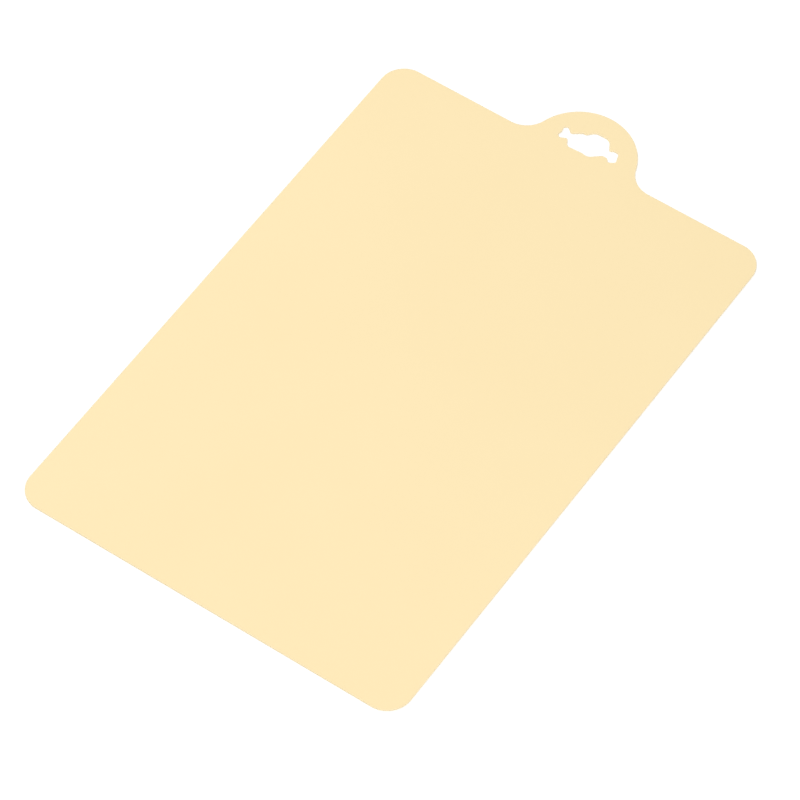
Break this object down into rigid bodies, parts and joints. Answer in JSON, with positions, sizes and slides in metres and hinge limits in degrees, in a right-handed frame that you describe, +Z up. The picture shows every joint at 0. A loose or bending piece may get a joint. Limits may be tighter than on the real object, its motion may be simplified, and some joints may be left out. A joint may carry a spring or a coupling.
{
  "type": "flexible cutting mat",
  "caption": "Thin flexible plastic cutting mat, rectangular with rounded corners, with a rounded hanging tab on one short side and a sweet-shaped hanging hole through it.",
  "frame": {"origin": "on the underside, in the middle of the width and of the overall length, tab included", "axes": "+Z up through the sheet, +Y along its length towards the hanging tab, +X across its width, to the right with the tab pointing away"},
  "size_m": [0.25, 0.393, 0.0008],
  "materials": {
    "mat_plastic": "matte"
  },
  "bodies": {
    "root": {"cutting_mat": "mat_plastic"}
  },
  "joints": []
}
